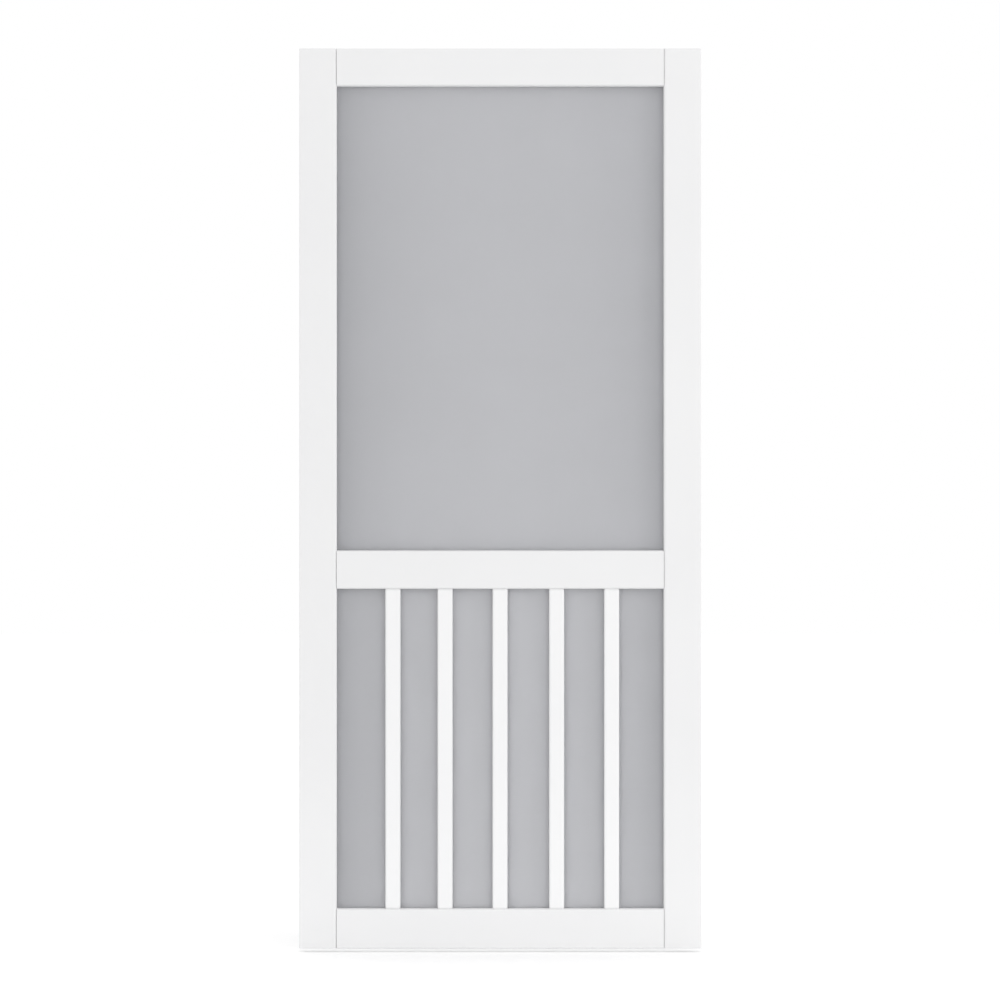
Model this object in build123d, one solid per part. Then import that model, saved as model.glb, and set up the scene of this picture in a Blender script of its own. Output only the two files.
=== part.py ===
from build123d import *
import os

# A white vinyl screen door leaf with a tall upper screen and a lower screen behind five upright bars.
# Hollow extruded stiles and rails are butted together, the rails coped over the stiles at the back.
# Each screen is stretched over a rabbet in the back and tucked into a groove under a ribbed spline.
# The screens are drawn as a plain grid, far coarser than the weave of about 18 by 16 yarns an inch.
#
# Millimetres. The origin is the middle of the hinge edge. X runs across the leaf to the latch edge,
# the front faces -Y, and Z is up.

# The leaf
door_width = 908.0
door_height = 2032.0
door_thickness = 25.4

# Widths of the frame members as seen from the front, and the height of the lower opening
stile_width = 84.5
top_rail_height = 84.0
middle_rail_height = 86.5
bottom_rail_height = 89.0
lower_opening_height = 723.0

# The extrusion that the stiles and rails share
wall = 2.2
web = 1.8
outer_edge_radius = 2.5
inner_edge_radius = 5.0
chamber_chamfer = 0.8
rabbet_width = 12.0
rabbet_depth = 4.0
rabbet_edge_radius = 0.8
lip_width = 4.4
groove_width = 4.2
groove_depth = 4.6

# The screens, drawn as a grid of strands about this far apart, and the splines that hold them
screen_thickness = 0.35
grid_spacing = 90.0
grid_strand = 8.0
spline_radius = 1.7
spline_corners = 6
spline_end_gap = 1.0

# The bars, with how far each one sits from its even place between the stiles
bar_width = 34.0
bar_depth = 16.0
bar_wall = 1.8
bar_edge_radius = 4.5
bar_setback = 2.5
bar_offsets = (3.8, -1.5, -0.5, 4.3, 5.4)

# The moulded plug in each end of a bar, with a tongue that enters a slot in the rail
plug_head = 4.0
plug_edge_chamfer = 1.2
plug_spigot = 14.0
tongue_width = 20.0
tongue_thickness = 6.0
tongue_length = 8.0
tongue_chamfer = 1.0

# The moulded cap on each end of a stile
cap_thickness = 2.5
cap_peg_length = 16.0
cap_edge_chamfer = 0.5

# Clearance of pegs, spigots and tongues in what they enter
fit_clearance = 0.2

# Faces of the leaf, and the openings between the members
front = -door_thickness / 2
back = door_thickness / 2
bottom = -door_height / 2
top = door_height / 2
centre_x = door_width / 2
rabbet_floor = back - rabbet_depth
groove_floor = rabbet_floor - groove_depth
opening_left = stile_width
opening_right = door_width - stile_width
lower_opening = (bottom + bottom_rail_height, bottom + bottom_rail_height + lower_opening_height)
upper_opening = (lower_opening[1] + middle_rail_height, top - top_rail_height)
centre_plane = Plane.YZ.offset(centre_x)

# The tongues lie in the middle of the nose chamber, and the bars just behind the frame's face
tongue_y = (front + groove_floor) / 2
bar_y = front + bar_setback + bar_depth / 2


def rectangle(u0, u1, y0, y1):
    """A rectangle between two corners of a section."""
    return Pos((u0 + u1) / 2, (y0 + y1) / 2) * Rectangle(u1 - u0, y1 - y0)


def block(x_span, y_span, z_span):
    """A box between three pairs of limits."""
    spans = (x_span, y_span, z_span)
    return Pos(*(sum(s) / 2 for s in spans)) * Box(*(s[1] - s[0] for s in spans))


def rounded(section, u, y, radius):
    """The section with its corner at (u, y) rounded."""
    corner = section.vertices().sort_by_distance((u, y, 0))[0]
    return fillet(corner, radius)


def member_outline(width, both_edges=False):
    """The outside of a member's section: u runs from its outer edge to the edge at the screen."""
    shape = rectangle(0, width, front, back)
    shape = rounded(shape, width, front, inner_edge_radius)
    shape = rounded(shape, 0, front, inner_edge_radius if both_edges else outer_edge_radius)
    if not both_edges:
        shape = rounded(shape, 0, back, outer_edge_radius)
    shape -= rectangle(width - rabbet_width, width, rabbet_floor, back)
    shape = rounded(shape, width - rabbet_width, back, rabbet_edge_radius)
    if both_edges:
        shape -= rectangle(0, rabbet_width, rabbet_floor, back)
        shape = rounded(shape, rabbet_width, back, rabbet_edge_radius)
    return shape


def body_chambers(width, both_edges=False):
    """The two large chambers of a member, either side of its web."""
    low = rabbet_width + wall if both_edges else wall
    high = width - rabbet_width - wall
    middle = (low + high) / 2
    spans = ((low, middle - web / 2), (middle + web / 2, high))
    return [rectangle(a, b, front + wall, back - wall) for a, b in spans]


def nose_chamber(width):
    """The small chamber under the spline groove, at the edge at the screen."""
    return rectangle(width - rabbet_width, width - wall, front + wall, groove_floor - wall)


def member_section(width, both_edges=False):
    """The hollow extrusion of a stile or rail, with a spline groove at each edge that holds a screen."""
    noses = [nose_chamber(width)]
    grooves = [rectangle(width - lip_width - groove_width, width - lip_width, groove_floor, back)]
    if both_edges:
        across = Plane.YZ.offset(width / 2)
        noses += [mirror(noses[0], across)]
        grooves += [mirror(grooves[0], across)]
    section = member_outline(width, both_edges)
    for chamber in body_chambers(width, both_edges) + noses:
        section -= chamfer(chamber.vertices(), chamber_chamfer)
    for groove in grooves:
        section -= groove
    return section


def hinge_stile():
    """The stile at the origin, cut short at both ends for its caps."""
    length = door_height - 2 * cap_thickness
    return Pos(0, 0, bottom + cap_thickness) * extrude(member_section(stile_width), length)


def stile_cap():
    """The cap on the bottom end of the hinge stile, with a peg in each large chamber."""
    plate = extrude(member_outline(stile_width), cap_thickness)
    rim = plate.faces().sort_by(Axis.Z)[0].edges()
    plate = chamfer(rim, cap_edge_chamfer)
    for chamber in body_chambers(stile_width):
        peg = offset(chamber, -fit_clearance, kind=Kind.INTERSECTION)
        peg = chamfer(peg.vertices(), chamber_chamfer)
        plate += extrude(Pos(0, 0, cap_thickness) * peg, cap_peg_length)
    return Pos(0, 0, bottom) * plate


def coped(rail, z_low, z_high):
    """The rail with only its back left behind the stiles, where it fills their rabbets."""
    for x in (opening_left - rabbet_width, opening_right):
        rail -= block((x, x + rabbet_width), (front, rabbet_floor), (z_low, z_high))
    return rail


def rail(z_low, z_high, outer_edge=None):
    """A rail between two heights. The outer edge is top, bottom, or neither on the middle rail."""
    reach_left = opening_left - rabbet_width
    reach_right = opening_right + rabbet_width
    if outer_edge == "top":
        plane = Plane(origin=(reach_left, 0, z_high), x_dir=(0, 0, -1), z_dir=(1, 0, 0))
    else:
        plane = Plane(origin=(reach_right, 0, z_low), x_dir=(0, 0, 1), z_dir=(-1, 0, 0))
    section = member_section(z_high - z_low, both_edges=outer_edge is None)
    return coped(extrude(plane * section, reach_right - reach_left), z_low, z_high)


def bar_centres():
    """The middles of the bars, spread evenly over the opening and then moved by their offsets."""
    pitch = (opening_right - opening_left) / (len(bar_offsets) + 1)
    return [opening_left + (i + 1) * pitch + moved for i, moved in enumerate(bar_offsets)]


def slotted(rail, edge_z):
    """The rail with a slot for each bar's tongue through its edge at a height."""
    half_width = tongue_width / 2 + fit_clearance
    half_thickness = tongue_thickness / 2 + fit_clearance
    for x in bar_centres():
        rail -= block(
            (x - half_width, x + half_width),
            (tongue_y - half_thickness, tongue_y + half_thickness),
            (edge_z - wall - fit_clearance, edge_z + wall + fit_clearance),
        )
    return rail


def bar_tube(x):
    """The hollow bar between its two plugs."""
    outside = RectangleRounded(bar_width, bar_depth, bar_edge_radius)
    inside = RectangleRounded(
        bar_width - 2 * bar_wall, bar_depth - 2 * bar_wall, bar_edge_radius - bar_wall
    )
    length = lower_opening_height - 2 * plug_head
    return Pos(x, bar_y, lower_opening[0] + plug_head) * extrude(outside - inside, length)


def bar_plug(x):
    """The plug at the bottom of a bar: a head with eased edges, a spigot above and a tongue below."""
    head = extrude(RectangleRounded(bar_width, bar_depth, bar_edge_radius), plug_head)
    head = chamfer(head.faces().sort_by(Axis.Z)[0].edges(), plug_edge_chamfer)
    inset = 2 * (bar_wall + fit_clearance)
    spigot = Rectangle(bar_width - inset, bar_depth - inset)
    spigot = chamfer(spigot.vertices(), bar_edge_radius - inset / 2)
    tongue = extrude(Rectangle(tongue_width, tongue_thickness), -tongue_length)
    tongue = chamfer(tongue.faces().sort_by(Axis.Z)[0].edges(), tongue_chamfer)
    plug = head + extrude(Pos(0, 0, plug_head) * spigot, plug_spigot)
    return Pos(x, 0, lower_opening[0]) * (Pos(0, bar_y, 0) * plug + Pos(0, tongue_y, 0) * tongue)


def mesh_face(width, height, border):
    """The flat face of a screen: a grid over an opening of a size, with a border outside it."""
    columns = round(width / grid_spacing)
    rows = round(height / grid_spacing)
    step_across = (width - grid_strand) / columns
    step_up = (height - grid_strand) / rows
    holes = GridLocations(step_across, step_up, columns, rows)
    face = Rectangle(width + 2 * border, height + 2 * border)
    return face - holes * Rectangle(step_across - grid_strand, step_up - grid_strand)


def fold_section():
    """The edge of a screen in its groove: down the lip, over the groove's floor and up its far side."""
    far = lip_width + groove_width
    fold = rectangle(lip_width, far, groove_floor, rabbet_floor)
    fold -= rectangle(
        lip_width + screen_thickness,
        far - screen_thickness,
        groove_floor + screen_thickness,
        rabbet_floor,
    )
    return fold


def screen(z_low, z_high):
    """The mesh over one opening, lying on the lips, with its four edges folded into the grooves."""
    border = lip_width + screen_thickness
    width = opening_right - opening_left
    height = z_high - z_low
    middle_z = (z_low + z_high) / 2
    facing_back = Plane(origin=(centre_x, rabbet_floor, middle_z), x_dir=(1, 0, 0), z_dir=(0, 1, 0))
    sheet = extrude(facing_back * mesh_face(width, height, border), screen_thickness)

    along_stile = extrude(fold_section(), height + 2 * border)
    along_stile = Pos(opening_right, 0, z_low - border) * along_stile
    rail_end = (opening_right - fit_clearance, 0, z_high)
    across = Plane(origin=rail_end, x_dir=(0, 0, 1), z_dir=(-1, 0, 0))
    along_rail = extrude(across * fold_section(), width - 2 * fit_clearance)
    sheet += [along_stile, mirror(along_stile, centre_plane)]
    sheet += [along_rail, mirror(along_rail, Plane.XY.offset(middle_z))]
    return sheet


def spline_section():
    """A round spline with small ribs along it, as two many-sided sections turned against each other."""
    section = RegularPolygon(spline_radius, spline_corners)
    return section + Rot(0, 0, 180 / spline_corners) * section


def splines(z_low, z_high):
    """The four splines of one opening, by the side that each one lies on."""
    from_opening = lip_width + groove_width / 2
    y = groove_floor + screen_thickness + spline_radius
    reach = rabbet_width - spline_end_gap
    upright = extrude(Pos(0, y) * spline_section(), z_high - z_low + 2 * reach)
    length = opening_right - opening_left - 2 * spline_end_gap
    level = extrude(Plane.YZ * Pos(y, 0) * spline_section(), length)
    return {
        "hinge": Pos(opening_left - from_opening, 0, z_low - reach) * upright,
        "latch": Pos(opening_right + from_opening, 0, z_low - reach) * upright,
        "bottom": Pos(opening_left + spline_end_gap, 0, z_low - from_opening) * level,
        "top": Pos(opening_left + spline_end_gap, 0, z_high + from_opening) * level,
    }


def build():
    """Every piece of the leaf, by the name of its node."""
    pieces = {}
    stile = hinge_stile()
    cap = stile_cap()
    upside = Plane.XY
    pieces["hinge_stile"] = stile
    pieces["latch_stile"] = mirror(stile, centre_plane)
    pieces["hinge_stile_bottom_cap"] = cap
    pieces["hinge_stile_top_cap"] = mirror(cap, upside)
    pieces["latch_stile_bottom_cap"] = mirror(cap, centre_plane)
    pieces["latch_stile_top_cap"] = mirror(mirror(cap, centre_plane), upside)

    pieces["top_rail"] = rail(upper_opening[1], top, "top")
    pieces["middle_rail"] = slotted(rail(lower_opening[1], upper_opening[0]), lower_opening[1])
    pieces["bottom_rail"] = slotted(rail(bottom, lower_opening[0], "bottom"), lower_opening[0])

    lower_middle = Plane.XY.offset(sum(lower_opening) / 2)
    for number, x in enumerate(bar_centres(), start=1):
        plug = bar_plug(x)
        pieces[f"bar_{number}"] = bar_tube(x)
        pieces[f"bar_{number}_bottom_plug"] = plug
        pieces[f"bar_{number}_top_plug"] = mirror(plug, lower_middle)

    for name, span in (("upper", upper_opening), ("lower", lower_opening)):
        pieces[f"{name}_screen"] = screen(*span)
        for side, spline in splines(*span).items():
            pieces[f"{name}_spline_{side}"] = spline
    return pieces


os.makedirs("parts", exist_ok=True)
for node, piece in build().items():
    export_step(piece, f"parts/{node}.step")
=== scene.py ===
# %% [markdown]
# # A vinyl screen door
#
# The leaf is a frame of hollow white vinyl with a tall upper screen, a middle rail, and five bars in
# front of a lower screen. Its frame, bars, caps, plugs and splines come from the CAD model and keep
# their shapes. Here they get their finishes, and the two screens are woven out of real yarns.

import math

import bpy
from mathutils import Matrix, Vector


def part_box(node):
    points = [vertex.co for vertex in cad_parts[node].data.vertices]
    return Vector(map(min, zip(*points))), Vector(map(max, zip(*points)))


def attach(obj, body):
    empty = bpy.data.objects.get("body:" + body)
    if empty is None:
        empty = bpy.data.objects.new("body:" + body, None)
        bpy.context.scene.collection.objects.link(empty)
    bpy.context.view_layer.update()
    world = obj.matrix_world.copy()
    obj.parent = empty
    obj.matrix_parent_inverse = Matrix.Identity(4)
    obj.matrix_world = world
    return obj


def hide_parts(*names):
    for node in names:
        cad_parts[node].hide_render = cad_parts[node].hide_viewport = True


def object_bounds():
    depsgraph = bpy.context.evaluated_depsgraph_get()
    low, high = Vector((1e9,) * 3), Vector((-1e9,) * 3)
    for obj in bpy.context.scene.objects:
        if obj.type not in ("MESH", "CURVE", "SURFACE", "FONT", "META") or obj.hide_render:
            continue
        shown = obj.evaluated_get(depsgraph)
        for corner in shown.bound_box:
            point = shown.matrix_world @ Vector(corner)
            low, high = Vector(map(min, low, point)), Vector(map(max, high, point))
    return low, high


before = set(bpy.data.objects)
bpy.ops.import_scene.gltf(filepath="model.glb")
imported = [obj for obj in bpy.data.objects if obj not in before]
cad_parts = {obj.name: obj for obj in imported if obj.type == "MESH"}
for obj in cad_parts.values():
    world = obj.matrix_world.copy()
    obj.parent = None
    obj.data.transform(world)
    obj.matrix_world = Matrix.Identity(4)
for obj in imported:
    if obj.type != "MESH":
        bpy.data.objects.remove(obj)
cad_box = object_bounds()
leaf_low, leaf_high = cad_box
leaf_middle = (leaf_low + leaf_high) / 2
print("leaf, in metres:", [round(size, 4) for size in leaf_high - leaf_low])


# %% [markdown]
# ## Where things are
#
# Every place below is read from the CAD pieces, so nothing is measured twice. The openings lie
# between the inner edges of the stiles and rails, and each is kept as its lowest and highest point.

# %% Read the openings from the frame
opening_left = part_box("hinge_stile")[1].x
opening_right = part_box("latch_stile")[0].x
openings = {
    "upper": (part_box("middle_rail")[1].z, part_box("top_rail")[0].z),
    "lower": (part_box("bottom_rail")[1].z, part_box("middle_rail")[0].z),
}
for pane, (low, high) in openings.items():
    print(pane, "opening:", round(opening_right - opening_left, 4), "by", round(high - low, 4))


# %% [markdown]
# ## The camera
#
# The leaf is seen square on from far away, so the stiles stay parallel and the edges of the leaf
# don't show. A long lens does that. The distance follows from the lens and from how much of the
# front face the picture takes in.

# %% Place the camera
PICTURE_SIDE = 2.2575
LENS = 135.0
SENSOR = 36.0
AIM_LEFT = 0.0006
AIM_LOW = 0.0034
camera_data = bpy.data.cameras.new("photo_camera")
camera_data.lens = LENS
camera_data.sensor_width = SENSOR
camera_data.clip_end = 100
camera = bpy.data.objects.new("photo_camera", camera_data)
bpy.context.scene.collection.objects.link(camera)
bpy.context.scene.camera = camera
distance = PICTURE_SIDE * LENS / SENSOR
camera.location = (leaf_middle.x - AIM_LEFT, leaf_low.y - distance, leaf_middle.z - AIM_LOW)
camera.rotation_euler = (math.pi / 2, 0, 0)
print("camera distance:", round(distance, 2))


# %% [markdown]
# ## A way to write materials
#
# A finish is a small graph of nodes. To keep each one readable, `Value` wraps a socket so that plain
# arithmetic adds the Math nodes. `Finish` holds the graph of one material or of the world, and its
# method `node` adds any other node: the settings are set first, and then the inputs are linked or
# written.

# %% Arithmetic on sockets
class Value:
    def __init__(self, finish, socket):
        self.finish = finish
        self.socket = socket

    def math(self, operation, first, second=0.0):
        return self.finish.node("Math", {"operation": operation}, {0: first, 1: second})

    def __add__(self, other):
        return self.math("ADD", self, other)

    def __sub__(self, other):
        return self.math("SUBTRACT", self, other)

    def __rsub__(self, other):
        return self.math("SUBTRACT", other, self)

    def __mul__(self, other):
        return self.math("MULTIPLY", self, other)

    __radd__ = __add__
    __rmul__ = __mul__

    def cos(self):
        return self.math("COSINE", self)

    def abs(self):
        return self.math("ABSOLUTE", self)

    def most(self, other):
        return self.math("MAXIMUM", self, other)

    def above(self, other):
        return self.math("GREATER_THAN", self, other)

    def also(self, output):
        """Another output of the same node."""
        return Value(self.finish, self.socket.node.outputs[output])


# %% A material and its nodes
class Finish:
    def __init__(self, name, owner=None):
        self.owner = owner or bpy.data.materials.new(name)
        self.owner.use_nodes = True
        self.tree = self.owner.node_tree
        self.tree.nodes.clear()

    def node(self, kind, settings=None, inputs=None, output=0):
        made = self.tree.nodes.new("ShaderNode" + kind)
        for name, setting in (settings or {}).items():
            setattr(made, name, setting)
        for name, given in (inputs or {}).items():
            if isinstance(given, Value):
                self.tree.links.new(given.socket, made.inputs[name])
            else:
                made.inputs[name].default_value = given
        return Value(self, made.outputs[output])

    def place(self):
        return self.node("TexCoord", output="Object")

    def noise(self, scale, detail, stretch=(1, 1, 1)):
        drawn = self.node("Mapping", {}, {"Vector": self.place(), "Scale": stretch})
        return self.node("TexNoise", {}, {"Vector": drawn, "Scale": scale, "Detail": detail}, "Fac")

    def between(self, factor, first, second):
        return self.node("Mix", {"data_type": "RGBA"}, {0: factor, 6: first, 7: second}, 2)

    def bump(self, height, strength, depth):
        return self.node("Bump", {}, {"Height": height, "Strength": strength, "Distance": depth})

    def shade(self, **inputs):
        named = {name.replace("_", " "): given for name, given in inputs.items()}
        return self.node("BsdfPrincipled", {}, named)

    def done(self, shader, kind="OutputMaterial"):
        output = self.tree.nodes.new("ShaderNode" + kind)
        self.tree.links.new(shader.socket, output.inputs["Surface"])
        return self.owner


# %% [markdown]
# ## Extruded white vinyl
#
# Rigid vinyl leaves the die with a smooth satin skin. Seen close it has faint lines along the
# extrusion, and its tone and gloss drift a little from place to place. A noise that is stretched
# along the length gives the die lines, and a broad noise gives the drift. Stiles and bars run up the
# leaf and rails run across it, so there is one finish for each direction. The bars come from a small
# profile of their own, and in the photo they are a touch whiter than the frame.

# %% The finish of the stiles, rails and bars
def extruded_vinyl(name, stretch, whiter=0.0):
    vinyl = Finish(name)
    lines = vinyl.noise(540.0, 3.0, stretch)
    drift = vinyl.noise(2.3, 2.0)
    dull, clean = 0.825 + whiter, 0.875 + whiter
    bluish, neutral = (dull, dull, dull + 0.007, 1), (clean, clean, clean + 0.002, 1)
    return vinyl.done(
        vinyl.shade(
            Base_Color=vinyl.between(drift, bluish, neutral),
            Roughness=0.26 + 0.10 * lines + 0.06 * drift,
            Normal=vinyl.bump(lines, 0.06, 0.0004),
            IOR=1.53,
        )
    )


upright_vinyl = extruded_vinyl("upright_vinyl", (1, 1, 0.02))
level_vinyl = extruded_vinyl("level_vinyl", (0.02, 1, 1))
bar_vinyl = extruded_vinyl("bar_vinyl", (1, 1, 0.02), whiter=0.05)
print("finishes:", upright_vinyl.name, level_vinyl.name, bar_vinyl.name)


# %% [markdown]
# ## Moulded vinyl, and the spline
#
# Caps and plugs are moulded, so they have a fine even grain with no direction. The spline is a cord
# of soft vinyl. It is duller and grey, with small scuffs from the wheel that pressed it in.

# %% The finishes of the small pieces
def moulded_vinyl():
    vinyl = Finish("moulded_vinyl")
    grain = vinyl.noise(900.0, 2.0)
    drift = vinyl.noise(9.0, 1.0)
    return vinyl.done(
        vinyl.shade(
            Base_Color=vinyl.between(drift, (0.82, 0.822, 0.828, 1), (0.86, 0.86, 0.862, 1)),
            Roughness=0.34 + 0.08 * grain,
            Normal=vinyl.bump(grain, 0.12, 0.0002),
        )
    )


def spline_vinyl():
    vinyl = Finish("spline_vinyl")
    scuffs = vinyl.noise(160.0, 4.0)
    return vinyl.done(
        vinyl.shade(
            Base_Color=vinyl.between(scuffs, (0.16, 0.16, 0.165, 1), (0.30, 0.30, 0.305, 1)),
            Roughness=0.52 + 0.15 * scuffs,
            Normal=vinyl.bump(scuffs, 0.2, 0.0003),
        )
    )


small_vinyl = moulded_vinyl()
soft_vinyl = spline_vinyl()


# %% [markdown]
# Each CAD piece keeps its mesh and only gets a finish, by what it is.

# %% Give every CAD piece its finish
def finish_of(node):
    if "spline" in node:
        return soft_vinyl
    if node.endswith(("cap", "plug")):
        return small_vinyl
    if "bar" in node:
        return bar_vinyl
    return level_vinyl if node.endswith("rail") else upright_vinyl


finished = 0
for node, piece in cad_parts.items():
    if not node.endswith("screen"):
        piece.data.materials.clear()
        piece.data.materials.append(finish_of(node))
        finished += 1
print("CAD pieces finished:", finished)


# %% [markdown]
# ## The woven screens
#
# Insect screen is a plain weave of glass yarn in a soft vinyl coat, about 18 yarns an inch across
# the leaf and 16 up it, each 0.28 millimetres thick. It could be one flat face with a pattern of
# holes in its alpha, but then it has no thickness and looks the same from every side. Here each yarn
# is real, so the screen turns denser when it is seen at a slant, throws a fine shadow, and lets light
# through from behind.
#
# A real yarn waves over and under its neighbours, which takes a little more depth than the yarn's
# own thickness. Thousands of waves would make the mesh too heavy, so each yarn is straight, and
# deeper than it is wide. That keeps the size of the holes and the depth of the weave.

# %% Sizes of the yarns
YARN = 0.00028
WEAVE_DEPTH = 0.00040
INCH = 0.0254
UPRIGHT_PITCH = INCH / 18
LEVEL_PITCH = INCH / 16
CROSSING = 0.4 * YARN
SAME_GIRTH = 1.026

screen_box = {pane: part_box(f"{pane}_screen") for pane in openings}
spline_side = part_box("upper_spline_hinge")[1].x
lip_y = screen_box["upper"][1].y - YARN / 2
floor_y = screen_box["upper"][0].y + YARN / 2
lip_width = opening_left - spline_side - YARN
fold_width = opening_left - screen_box["upper"][0].x
print("lip:", round(lip_width, 5), "fold:", round(fold_width, 5), "depth:", round(lip_y - floor_y, 5))


# %% [markdown]
# One yarn is drawn as a line with a round bevel and made a mesh. Eight sides are enough at this
# size. They are drawn out a little so that the yarn has the girth of a round one. A short straight
# piece on each side of a corner keeps the bevel from being pinched there. The run across the opening
# is then selected by its place and stretched in depth.

# %% Draw one yarn
def deselect_all():
    bpy.ops.object.select_all(action="DESELECT")


def deepen(yarn, face_y):
    for vertex in yarn.data.vertices:
        vertex.select = abs(vertex.co.y - face_y) < YARN
    bpy.ops.object.mode_set(mode="EDIT")
    bpy.ops.transform.resize(value=(1, WEAVE_DEPTH / YARN, 1), center_override=(0, face_y, 0))
    bpy.ops.object.mode_set(mode="OBJECT")


def draw_yarn(name, points):
    deselect_all()
    line = bpy.data.curves.new(name, "CURVE")
    line.dimensions = "3D"
    line.bevel_depth = YARN / 2 * SAME_GIRTH
    line.bevel_resolution = 2
    line.use_fill_caps = True
    run = line.splines.new("POLY")
    run.points.add(len(points) - 1)
    for point, place in zip(run.points, points):
        point.co = (*place, 1)
    yarn = bpy.data.objects.new(name, line)
    bpy.context.scene.collection.objects.link(yarn)
    bpy.context.view_layer.objects.active = yarn
    yarn.select_set(True)
    bpy.ops.object.convert(target="MESH")
    yarn = bpy.context.view_layer.objects.active
    bpy.ops.object.mode_set(mode="EDIT")
    bpy.ops.mesh.select_all(action="SELECT")
    bpy.ops.mesh.remove_doubles(threshold=YARN / 100)
    bpy.ops.mesh.normals_make_consistent(inside=False)
    bpy.ops.mesh.select_all(action="DESELECT")
    bpy.ops.object.mode_set(mode="OBJECT")
    deepen(yarn, max(place[1] for place in points))
    bpy.ops.object.shade_smooth_by_angle(angle=math.radians(60))
    return yarn


# %% [markdown]
# An Array lays the whole family. Real yarns aren't spaced quite evenly: some lie a little closer,
# which shows as faint streaks. A Displace modifier with a fine cloud texture shifts them sideways by
# a tenth of a millimetre or two.

# %% Lay a family of yarns
DRIFT_STRENGTH = 0.0005
DRIFT_LENGTH = 0.004


def apply(piece, kind, **settings):
    deselect_all()
    piece.select_set(True)
    bpy.context.view_layer.objects.active = piece
    bpy.ops.object.modifier_add(type=kind)
    modifier = piece.modifiers[-1]
    for name, setting in settings.items():
        setattr(modifier, name, setting)
    bpy.ops.object.modifier_apply(modifier=modifier.name)


def lay_family(yarn, count, pitch, axis):
    step = [pitch if name == axis else 0 for name in "XYZ"]
    apply(
        yarn,
        "ARRAY",
        count=count,
        use_relative_offset=False,
        use_constant_offset=True,
        constant_offset_displace=step,
    )
    clouds = bpy.data.textures.new(yarn.name + "_spacing", "CLOUDS")
    clouds.noise_scale = DRIFT_LENGTH
    apply(yarn, "DISPLACE", texture=clouds, direction=axis, strength=DRIFT_STRENGTH)


# %% [markdown]
# ## The fold into the groove
#
# A yarn starts at the cut edge by the groove's far wall. It runs down that wall, over the groove's
# floor, up the lip, across the opening, and into the groove on the other side. The same outline
# serves both families, with the run along X for one and along Z for the other.

# %% The line of a yarn from groove to groove
def folded_line(low, high, lift):
    """Corners of a yarn over an opening from low to high, as (along, depth)."""
    start = low - fold_width + YARN / 2
    turn = low - lip_width - YARN / 2
    half = [
        (start, lip_y - YARN),
        (start, floor_y),
        (turn, floor_y),
        (turn, lip_y + lift),
        (turn + YARN, lip_y + lift),
    ]
    return half + [(low + high - along, depth) for along, depth in reversed(half)]


# %% [markdown]
# The folded edge holds cross yarns too. They run the whole length of the groove, spaced by the pitch
# along the fold: on the lip, down its side, over the floor and up the far wall.

# %% Places of the cross yarns in a fold
def fold_places(edge, outward, pitch):
    """(place across the edge, depth) of each cross yarn, from the edge of the opening outward."""
    inner = lip_width + YARN / 2 + CROSSING
    outer = fold_width - YARN / 2 - CROSSING
    bottom_y = floor_y + CROSSING
    top_y = lip_y + CROSSING
    corners = [(0, top_y), (inner, top_y), (inner, bottom_y), (outer, bottom_y), (outer, lip_y - YARN)]
    places = []
    left = pitch / 2
    for (u0, y0), (u1, y1) in zip(corners, corners[1:]):
        length = abs(u1 - u0) + abs(y1 - y0)
        while left < length:
            share = left / length
            places.append((edge + outward * (u0 + (u1 - u0) * share), y0 + (y1 - y0) * share))
            left += pitch
        left -= length
    return places


print("cross yarns in one fold:", len(fold_places(opening_left, -1, UPRIGHT_PITCH)))


# %% [markdown]
# One screen is a family of level yarns and a family of upright ones, each with its cross yarns in the
# folds. The level family reaches two yarns beyond the opening at each end, over the lips.

# %% Weave one screen
ON_A_LIP = 2


def join(pieces):
    deselect_all()
    for piece in pieces:
        piece.select_set(True)
    bpy.context.view_layer.objects.active = pieces[0]
    bpy.ops.object.join()
    return pieces[0]


def weave(pane):
    bottom, top = openings[pane]
    count = int((top - bottom) / LEVEL_PITCH) + 2 * ON_A_LIP
    first = (bottom + top - (count - 1) * LEVEL_PITCH) / 2
    line = folded_line(opening_left, opening_right, 0)
    level = draw_yarn(f"{pane}_level_yarns", [(x, y, first) for x, y in line])
    lay_family(level, count, LEVEL_PITCH, "Z")

    count = int((opening_right - opening_left) / UPRIGHT_PITCH)
    first = (opening_left + opening_right - (count - 1) * UPRIGHT_PITCH) / 2
    line = folded_line(bottom, top, CROSSING)
    upright = draw_yarn(f"{pane}_upright_yarns", [(first, y, z) for z, y in line])
    lay_family(upright, count, UPRIGHT_PITCH, "X")

    ends = (bottom - lip_width, top + lip_width)
    crossing_up = [
        draw_yarn("edge_yarn", [(x, y, end) for end in ends])
        for edge, outward in ((opening_left, -1), (opening_right, 1))
        for x, y in fold_places(edge, outward, UPRIGHT_PITCH)
    ]
    ends = (opening_left + YARN, opening_right - YARN)
    crossing_level = [
        draw_yarn("edge_yarn", [(end, y, z) for end in ends])
        for edge, outward in ((bottom, -1), (top, 1))
        for z, y in fold_places(edge, outward, LEVEL_PITCH)
        if y < lip_y
    ]
    return join([level, *crossing_level]), join([upright, *crossing_up])


# %% [markdown]
# ## The yarns' finish
#
# The yarns are coated grey with a trace of blue. In a plain weave each one rises over one neighbour
# and dips under the next. At this size that can't be afforded in the mesh, so a bump carries it: the
# product of two cosines, one for each pitch, is high on every second crossing. It has the opposite
# sign for the other family.

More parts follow.
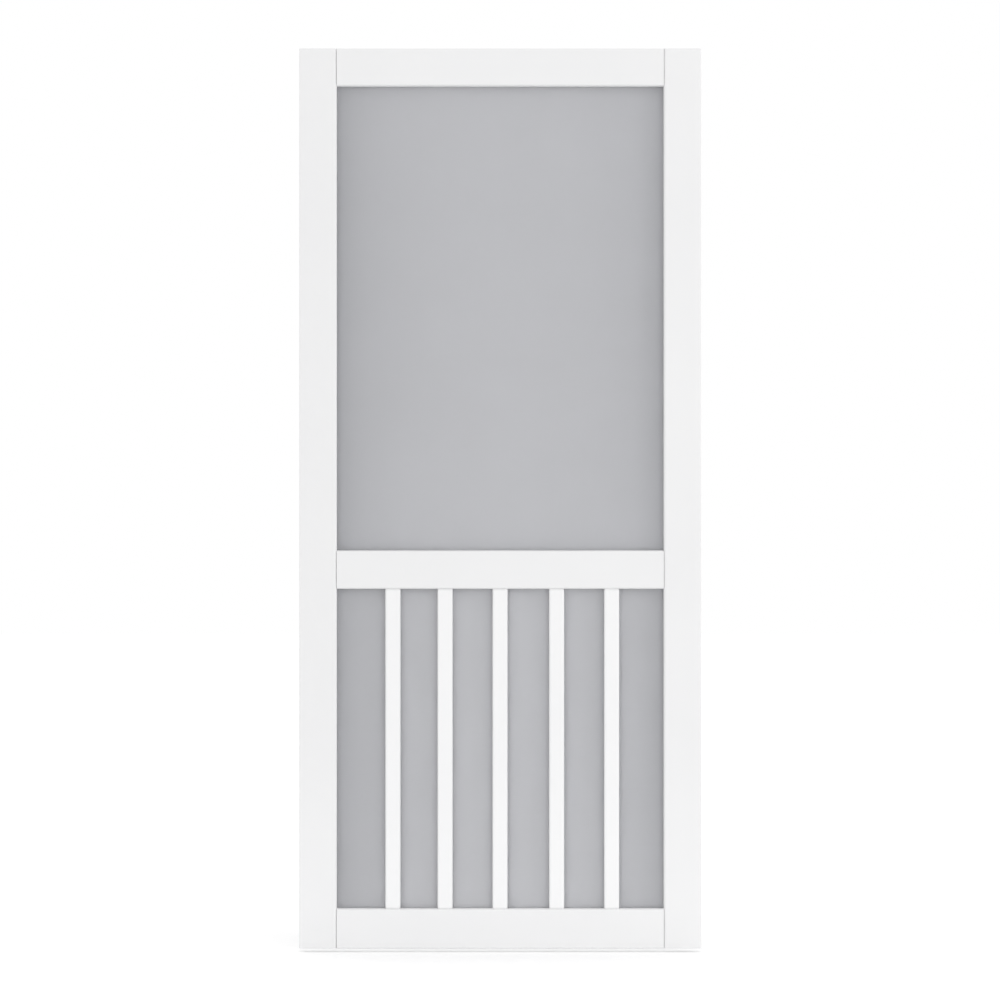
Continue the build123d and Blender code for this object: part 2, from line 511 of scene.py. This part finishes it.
# %% The finish of the yarns
def coated_yarn(name, sign):
    coat = Finish(name)
    across = coat.node("SeparateXYZ", {}, {0: coat.place()}, "X")
    up = across.also("Z")
    over = (across * (math.pi / UPRIGHT_PITCH)).cos() * (up * (math.pi / LEVEL_PITCH)).cos()
    drift = coat.noise(7.0, 3.0)
    return coat.done(
        coat.shade(
            Base_Color=coat.between(drift, (0.44, 0.446, 0.478, 1), (0.50, 0.507, 0.543, 1)),
            Roughness=0.42 + 0.12 * drift,
            Normal=coat.bump(over * sign, 0.8, YARN),
        )
    )


level_coat = coated_yarn("level_yarn_coat", 1.0)
upright_coat = coated_yarn("upright_yarn_coat", -1.0)


# %% [markdown]
# The two families are joined into one piece, which stands for the plain CAD sheet. It is a sheet
# that was cut a little larger than the opening and stretched flat.

# %% Make both screens
for pane in openings:
    level, upright = weave(pane)
    level.data.materials.append(level_coat)
    upright.data.materials.append(upright_coat)
    deselect_all()
    upright.select_set(True)
    level.select_set(True)
    bpy.context.view_layer.objects.active = level
    bpy.ops.object.join()
    level.name = level.data.name = f"{pane}_woven_screen"
    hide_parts(f"{pane}_screen")
    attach(level, "root")
    low, high = screen_box[pane]


# %% [markdown]
# ## The stage
#
# The leaf hangs just above a pale floor in a white room. Most of the light comes from the room
# itself. Its sides are dimmer than its front and back, so that the edges of the leaf stand out from
# its face. Where the camera looks at the room, it is plain white. The floor is white too, but keeps
# the leaf's soft shadow.

# %% Light the room
def seen(finish):
    """1 for rays from the camera, and for those that a shiny or clear surface sends on."""
    path = finish.node("LightPath", output="Is Camera Ray")
    return path.most(path.also("Is Glossy Ray")).most(path.also("Is Transmission Ray"))


ROOM_LIGHT = 1.26
SIDES_DIMMER = 0.50
world = bpy.data.worlds.new("white_room")
bpy.context.scene.world = world
room = Finish("white_room", world)
rightward = room.node("SeparateXYZ", {}, {0: room.node("TexCoord", output="Generated")}, "X")
strength = ROOM_LIGHT * (1.0 - SIDES_DIMMER * rightward.abs())
light = room.node("Background", {}, {"Color": (1, 1, 1, 1), "Strength": strength})
white = room.node("Background", {}, {"Color": (1, 1, 1, 1), "Strength": 1.0})
room.done(room.node("MixShader", {}, {0: seen(room), 1: light, 2: white}), "OutputWorld")
print("room light:", ROOM_LIGHT, "at the sides:", round(ROOM_LIGHT * (1 - SIDES_DIMMER), 2))

# %% Lay the floor
FLOOR_SIZE = 40
FLOOR_GAP = 0.008
deselect_all()
bpy.ops.mesh.primitive_plane_add(size=FLOOR_SIZE, location=(leaf_middle.x, 0, leaf_low.z - FLOOR_GAP))
floor = bpy.context.object
floor.name = "floor"
paint = Finish("pale_floor")
matt = paint.node("BsdfDiffuse", {}, {"Color": (0.94, 0.94, 0.94, 1)})
glow = paint.node("Emission", {}, {"Color": (1, 1, 1, 1), "Strength": 0.12})
both = paint.node("AddShader", {}, {0: matt, 1: glow})
floor.data.materials.append(paint.done(paint.node("MixShader", {}, {0: seen(paint), 1: matt, 2: both})))


# %% [markdown]
# ## The card behind the screens
#
# A white card closes the openings from behind, flush with the leaf's back. It is what gives the
# screens their grey: light passes the yarns twice, and the frame and the bars darken it near their
# edges, partly by their real shadow on the card and partly by shade painted into the card's colour.
# With a dark card they would look dark, and with none they would look nearly white.

# %% Hang the card
CARD_MARGIN = 0.030
CARD_INSET = 0.0004
opening_width = opening_right - opening_left
middle_across = (opening_left + opening_right) / 2
bottom, top = openings["lower"][0], openings["upper"][1]
card_place = (middle_across, leaf_high.y - CARD_INSET, (bottom + top) / 2)
deselect_all()
bpy.ops.mesh.primitive_plane_add(size=1, location=card_place, rotation=(math.pi / 2, 0, 0))
card = bpy.context.object
card.name = "card"
card.scale = (opening_width + 2 * CARD_MARGIN, top - bottom + 2 * CARD_MARGIN, 1)
bpy.ops.object.transform_apply(location=True, rotation=True, scale=True)
print("card behind the yarns, in metres:", round(card_place[1] - lip_y, 4))


# %% [markdown]
# The card shows only from the front. Seen from behind it is clear, and it is clear to the first bounce
# of light, so the leaf's back is lit as if the card weren't there. Painted shade makes it darker
# towards both sides, most of all close to the stiles, and painted light makes it a little paler behind
# the lower screen. Its painted brightest line is just right of the middle.

# %% The card's finish
# painted light and shade on the card: its tone below is painted into its colour, not cast by any lamp
PAINTED_BRIGHTEST_SHIFT = 0.04
board = Finish("card_painted_shade")
across = board.node("SeparateXYZ", {}, {0: board.place()}, "X")
aside = (across - middle_across) * (2 / opening_width) - PAINTED_BRIGHTEST_SHIFT
squared = aside * aside
# painted shade: darker towards both stiles
painted_side_shade = 0.4 * squared + 0.6 * squared * squared * squared
# painted light: paler behind the lower screen
painted_light_behind_lower = 1.0 - across.also("Z").above((openings["lower"][1] + openings["upper"][0]) / 2)
painted_light_and_shade = 0.75 - 0.66 * painted_side_shade + 0.08 * painted_light_behind_lower
# the card's colour runs from a painted shaded grey to a painted lit white
painted_card_colour = board.between(painted_light_and_shade, (0.65, 0.653, 0.665, 1), (0.94, 0.94, 0.95, 1))
sheet = board.shade(Base_Color=painted_card_colour, Roughness=0.08)

front = 1.0 - board.node("NewGeometry", output="Backfacing")
path = board.node("LightPath", output="Is Camera Ray")
later_bounce = path.also("Ray Depth").above(1.5)
there = front * later_bounce.most(path)
clear = board.node("BsdfTransparent")
card.data.materials.append(board.done(board.node("MixShader", {}, {0: there, 1: clear, 2: sheet})))
print("card finish:", card.data.materials[0].name)


# %% [markdown]
# ## The lamps
#
# Three soft lamps add a little shape to the even light of the room. One stands far to the right of
# the leaf and brightens the edges that face it. A very weak one lies low in front and lifts the foot
# of the leaf, which is a little brighter in the photo. One stands behind, for the back.

# %% Place the lamps
def soft_lamp(name, place, target, size, power):
    data = bpy.data.lights.new(name, "AREA")
    data.shape = "RECTANGLE"
    data.size, data.size_y = size
    data.energy = power
    lamp = bpy.data.objects.new(name, data)
    bpy.context.scene.collection.objects.link(lamp)
    lamp.location = place
    aim = target - lamp.location
    lamp.rotation_euler = aim.to_track_quat("-Z", "Y").to_euler()
    lamp.visible_camera = False
    print(name, "at", place, "with", power, "W")


middle_x, foot = leaf_middle.x, leaf_low.z
leaf_foot = leaf_middle.copy()
leaf_foot.z = foot
soft_lamp("right_lamp", (middle_x + 4.6, -1.8, 0.6), leaf_middle, (0.8, 2.0), 30)
soft_lamp("low_lamp", (middle_x, -0.5, foot + 0.06), leaf_foot, (1.4, 0.1), 0.28)
soft_lamp("back_lamp", (middle_x - 3.5, 3.5, 0.8), leaf_middle, (1.6, 2.6), 10)
bpy.context.scene.view_settings.view_transform = "Standard"
